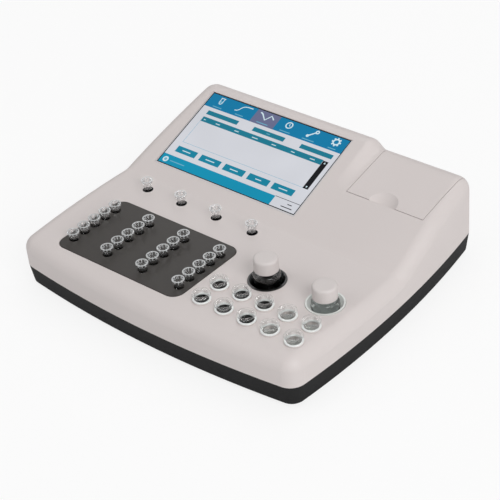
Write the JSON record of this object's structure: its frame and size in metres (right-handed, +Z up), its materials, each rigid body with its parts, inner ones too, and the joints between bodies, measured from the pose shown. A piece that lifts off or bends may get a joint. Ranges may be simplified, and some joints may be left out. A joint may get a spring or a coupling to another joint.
{
  "type": "coagulation analyzer",
  "caption": "Benchtop coagulation analyzer with sunken cuvette and reagent wells, two capped vials, a sloped touch display, a built-in thermal printer and a rear power inlet.",
  "frame": {"origin": "middle of the bounding box's bottom face, on the table", "axes": "+X to the operator's right, +Y towards the back, +Z up"},
  "size_m": [0.303, 0.2613, 0.0838],
  "materials": {
    "housing": "fine moulded texture",
    "base": "textured",
    "feet": "matte",
    "screws": "zinc plated",
    "touch_glass": "gloss, lit display",
    "lcd": "satin",
    "mat": "smooth, satin",
    "block": "black anodised",
    "board": "solder mask",
    "rack": "clear moulded",
    "liner": "gloss",
    "cuvette": "clear polystyrene",
    "cup": "clear polypropylene",
    "vial": "clear glass",
    "cap": "satin",
    "bucket": "moulded",
    "print_head": "satin",
    "pin": "ground",
    "platen": "satin",
    "paper": "uncoated thermal paper",
    "inlet": "satin",
    "rocker": "gloss"
  },
  "bodies": {
    "analyzer": {"top_housing": "housing", "base_tray": "base", "rubber_feet": "feet", "case_screws": "screws", "touch_glass": "touch_glass", "lcd_panel": "lcd", "incubator_mat": "mat", "incubator_block": "block", "measuring_block": "block", "optics_boards": "board", "heated_reagent_block": "block", "ambient_rack": "rack", "black_well_liner": "liner", "paper_bucket": "bucket", "thermal_print_head": "print_head", "main_board": "board", "power_inlet": "inlet", "lid_hinge_pin": "pin"},
    "cuvette_01": {"cuvette_01": "cuvette"},
    "cuvette_02": {"cuvette_02": "cuvette"},
    "cuvette_03": {"cuvette_03": "cuvette"},
    "cuvette_04": {"cuvette_04": "cuvette"},
    "cuvette_05": {"cuvette_05": "cuvette"},
    "cuvette_06": {"cuvette_06": "cuvette"},
    "cuvette_07": {"cuvette_07": "cuvette"},
    "cuvette_08": {"cuvette_08": "cuvette"},
    "cuvette_09": {"cuvette_09": "cuvette"},
    "cuvette_10": {"cuvette_10": "cuvette"},
    "cuvette_11": {"cuvette_11": "cuvette"},
    "cuvette_12": {"cuvette_12": "cuvette"},
    "cuvette_13": {"cuvette_13": "cuvette"},
    "cuvette_14": {"cuvette_14": "cuvette"},
    "cuvette_15": {"cuvette_15": "cuvette"},
    "cuvette_16": {"cuvette_16": "cuvette"},
    "cuvette_17": {"cuvette_17": "cuvette"},
    "cuvette_18": {"cuvette_18": "cuvette"},
    "cuvette_19": {"cuvette_19": "cuvette"},
    "cuvette_20": {"cuvette_20": "cuvette"},
    "measuring_cuvette_1": {"measuring_cuvette_1": "cuvette"},
    "measuring_cuvette_2": {"measuring_cuvette_2": "cuvette"},
    "measuring_cuvette_3": {"measuring_cuvette_3": "cuvette"},
    "measuring_cuvette_4": {"measuring_cuvette_4": "cuvette"},
    "reagent_cup_01": {"reagent_cup_01": "cup"},
    "reagent_cup_02": {"reagent_cup_02": "cup"},
    "reagent_cup_03": {"reagent_cup_03": "cup"},
    "reagent_cup_04": {"reagent_cup_04": "cup"},
    "reagent_cup_05": {"reagent_cup_05": "cup"},
    "reagent_cup_06": {"reagent_cup_06": "cup"},
    "reagent_cup_07": {"reagent_cup_07": "cup"},
    "reagent_cup_08": {"reagent_cup_08": "cup"},
    "reagent_cup_09": {"reagent_cup_09": "cup"},
    "reagent_cup_10": {"reagent_cup_10": "cup"},
    "heated_vial": {"heated_vial": "vial"},
    "heated_vial_cap": {"heated_vial_cap": "cap"},
    "ambient_vial": {"ambient_vial": "vial"},
    "ambient_vial_cap": {"ambient_vial_cap": "cap"},
    "printer_lid": {"printer_lid": "housing"},
    "platen_roller": {"platen_roller": "platen"},
    "paper_roll": {"paper_roll": "paper"},
    "power_rocker": {"power_rocker": "rocker"}
  },
  "joints": [
    {"name": "heated_vial_lift", "type": "slide", "parent": "analyzer", "child": "heated_vial", "axis": [0, 0, 1], "range_m": [0, 0.06]},
    {"name": "heated_vial_cap_lift", "type": "slide", "parent": "heated_vial", "child": "heated_vial_cap", "axis": [0, 0, 1], "range_m": [0, 0.015]},
    {"name": "ambient_vial_lift", "type": "slide", "parent": "analyzer", "child": "ambient_vial", "axis": [0, 0, 1], "range_m": [0, 0.06]},
    {"name": "ambient_vial_cap_lift", "type": "slide", "parent": "ambient_vial", "child": "ambient_vial_cap", "axis": [0, 0, 1], "range_m": [0, 0.015]},
    {"name": "printer_lid_hinge", "type": "hinge", "parent": "analyzer", "child": "printer_lid", "pos_m": [0.0962, 0.11525, 0.06251], "axis": [-1, 0, 0], "range_deg": [0, 95]},
    {"name": "platen_spin", "type": "hinge", "parent": "printer_lid", "child": "platen_roller", "pos_m": [0.0962, 0.076, 0.054], "axis": [1, 0, 0], "continuous": true},
    {"name": "paper_roll_spin", "type": "hinge", "parent": "analyzer", "child": "paper_roll", "pos_m": [0.0962, 0.093, 0.0368], "axis": [1, 0, 0], "continuous": true},
    {"name": "power_rocker_tilt", "type": "hinge", "parent": "analyzer", "child": "power_rocker", "pos_m": [-0.076, 0.12375, 0.0375], "axis": [0, 0, -1], "range_deg": [0, 14]},
    {"name": "cuvette_01_lift", "type": "slide", "parent": "analyzer", "child": "cuvette_01", "axis": [0, 0, 1], "range_m": [0, 0.04]},
    {"name": "cuvette_02_lift", "type": "slide", "parent": "analyzer", "child": "cuvette_02", "axis": [0, 0, 1], "range_m": [0, 0.04]},
    {"name": "cuvette_03_lift", "type": "slide", "parent": "analyzer", "child": "cuvette_03", "axis": [0, 0, 1], "range_m": [0, 0.04]},
    {"name": "cuvette_04_lift", "type": "slide", "parent": "analyzer", "child": "cuvette_04", "axis": [0, 0, 1], "range_m": [0, 0.04]},
    {"name": "cuvette_05_lift", "type": "slide", "parent": "analyzer", "child": "cuvette_05", "axis": [0, 0, 1], "range_m": [0, 0.04]},
    {"name": "cuvette_06_lift", "type": "slide", "parent": "analyzer", "child": "cuvette_06", "axis": [0, 0, 1], "range_m": [0, 0.04]},
    {"name": "cuvette_07_lift", "type": "slide", "parent": "analyzer", "child": "cuvette_07", "axis": [0, 0, 1], "range_m": [0, 0.04]},
    {"name": "cuvette_08_lift", "type": "slide", "parent": "analyzer", "child": "cuvette_08", "axis": [0, 0, 1], "range_m": [0, 0.04]},
    {"name": "cuvette_09_lift", "type": "slide", "parent": "analyzer", "child": "cuvette_09", "axis": [0, 0, 1], "range_m": [0, 0.04]},
    {"name": "cuvette_10_lift", "type": "slide", "parent": "analyzer", "child": "cuvette_10", "axis": [0, 0, 1], "range_m": [0, 0.04]},
    {"name": "cuvette_11_lift", "type": "slide", "parent": "analyzer", "child": "cuvette_11", "axis": [0, 0, 1], "range_m": [0, 0.04]},
    {"name": "cuvette_12_lift", "type": "slide", "parent": "analyzer", "child": "cuvette_12", "axis": [0, 0, 1], "range_m": [0, 0.04]},
    {"name": "cuvette_13_lift", "type": "slide", "parent": "analyzer", "child": "cuvette_13", "axis": [0, 0, 1], "range_m": [0, 0.04]},
    {"name": "cuvette_14_lift", "type": "slide", "parent": "analyzer", "child": "cuvette_14", "axis": [0, 0, 1], "range_m": [0, 0.04]},
    {"name": "cuvette_15_lift", "type": "slide", "parent": "analyzer", "child": "cuvette_15", "axis": [0, 0, 1], "range_m": [0, 0.04]},
    {"name": "cuvette_16_lift", "type": "slide", "parent": "analyzer", "child": "cuvette_16", "axis": [0, 0, 1], "range_m": [0, 0.04]},
    {"name": "cuvette_17_lift", "type": "slide", "parent": "analyzer", "child": "cuvette_17", "axis": [0, 0, 1], "range_m": [0, 0.04]},
    {"name": "cuvette_18_lift", "type": "slide", "parent": "analyzer", "child": "cuvette_18", "axis": [0, 0, 1], "range_m": [0, 0.04]},
    {"name": "cuvette_19_lift", "type": "slide", "parent": "analyzer", "child": "cuvette_19", "axis": [0, 0, 1], "range_m": [0, 0.04]},
    {"name": "cuvette_20_lift", "type": "slide", "parent": "analyzer", "child": "cuvette_20", "axis": [0, 0, 1], "range_m": [0, 0.04]},
    {"name": "measuring_cuvette_1_lift", "type": "slide", "parent": "analyzer", "child": "measuring_cuvette_1", "axis": [0, 0, 1], "range_m": [0, 0.04]},
    {"name": "measuring_cuvette_2_lift", "type": "slide", "parent": "analyzer", "child": "measuring_cuvette_2", "axis": [0, 0, 1], "range_m": [0, 0.04]},
    {"name": "measuring_cuvette_3_lift", "type": "slide", "parent": "analyzer", "child": "measuring_cuvette_3", "axis": [0, 0, 1], "range_m": [0, 0.04]},
    {"name": "measuring_cuvette_4_lift", "type": "slide", "parent": "analyzer", "child": "measuring_cuvette_4", "axis": [0, 0, 1], "range_m": [0, 0.04]},
    {"name": "reagent_cup_01_lift", "type": "slide", "parent": "analyzer", "child": "reagent_cup_01", "axis": [0, 0, 1], "range_m": [0, 0.04]},
    {"name": "reagent_cup_02_lift", "type": "slide", "parent": "analyzer", "child": "reagent_cup_02", "axis": [0, 0, 1], "range_m": [0, 0.04]},
    {"name": "reagent_cup_03_lift", "type": "slide", "parent": "analyzer", "child": "reagent_cup_03", "axis": [0, 0, 1], "range_m": [0, 0.04]},
    {"name": "reagent_cup_04_lift", "type": "slide", "parent": "analyzer", "child": "reagent_cup_04", "axis": [0, 0, 1], "range_m": [0, 0.04]},
    {"name": "reagent_cup_05_lift", "type": "slide", "parent": "analyzer", "child": "reagent_cup_05", "axis": [0, 0, 1], "range_m": [0, 0.04]},
    {"name": "reagent_cup_06_lift", "type": "slide", "parent": "analyzer", "child": "reagent_cup_06", "axis": [0, 0, 1], "range_m": [0, 0.04]},
    {"name": "reagent_cup_07_lift", "type": "slide", "parent": "analyzer", "child": "reagent_cup_07", "axis": [0, 0, 1], "range_m": [0, 0.04]},
    {"name": "reagent_cup_08_lift", "type": "slide", "parent": "analyzer", "child": "reagent_cup_08", "axis": [0, 0, 1], "range_m": [0, 0.04]},
    {"name": "reagent_cup_09_lift", "type": "slide", "parent": "analyzer", "child": "reagent_cup_09", "axis": [0, 0, 1], "range_m": [0, 0.04]},
    {"name": "reagent_cup_10_lift", "type": "slide", "parent": "analyzer", "child": "reagent_cup_10", "axis": [0, 0, 1], "range_m": [0, 0.04]}
  ]
}
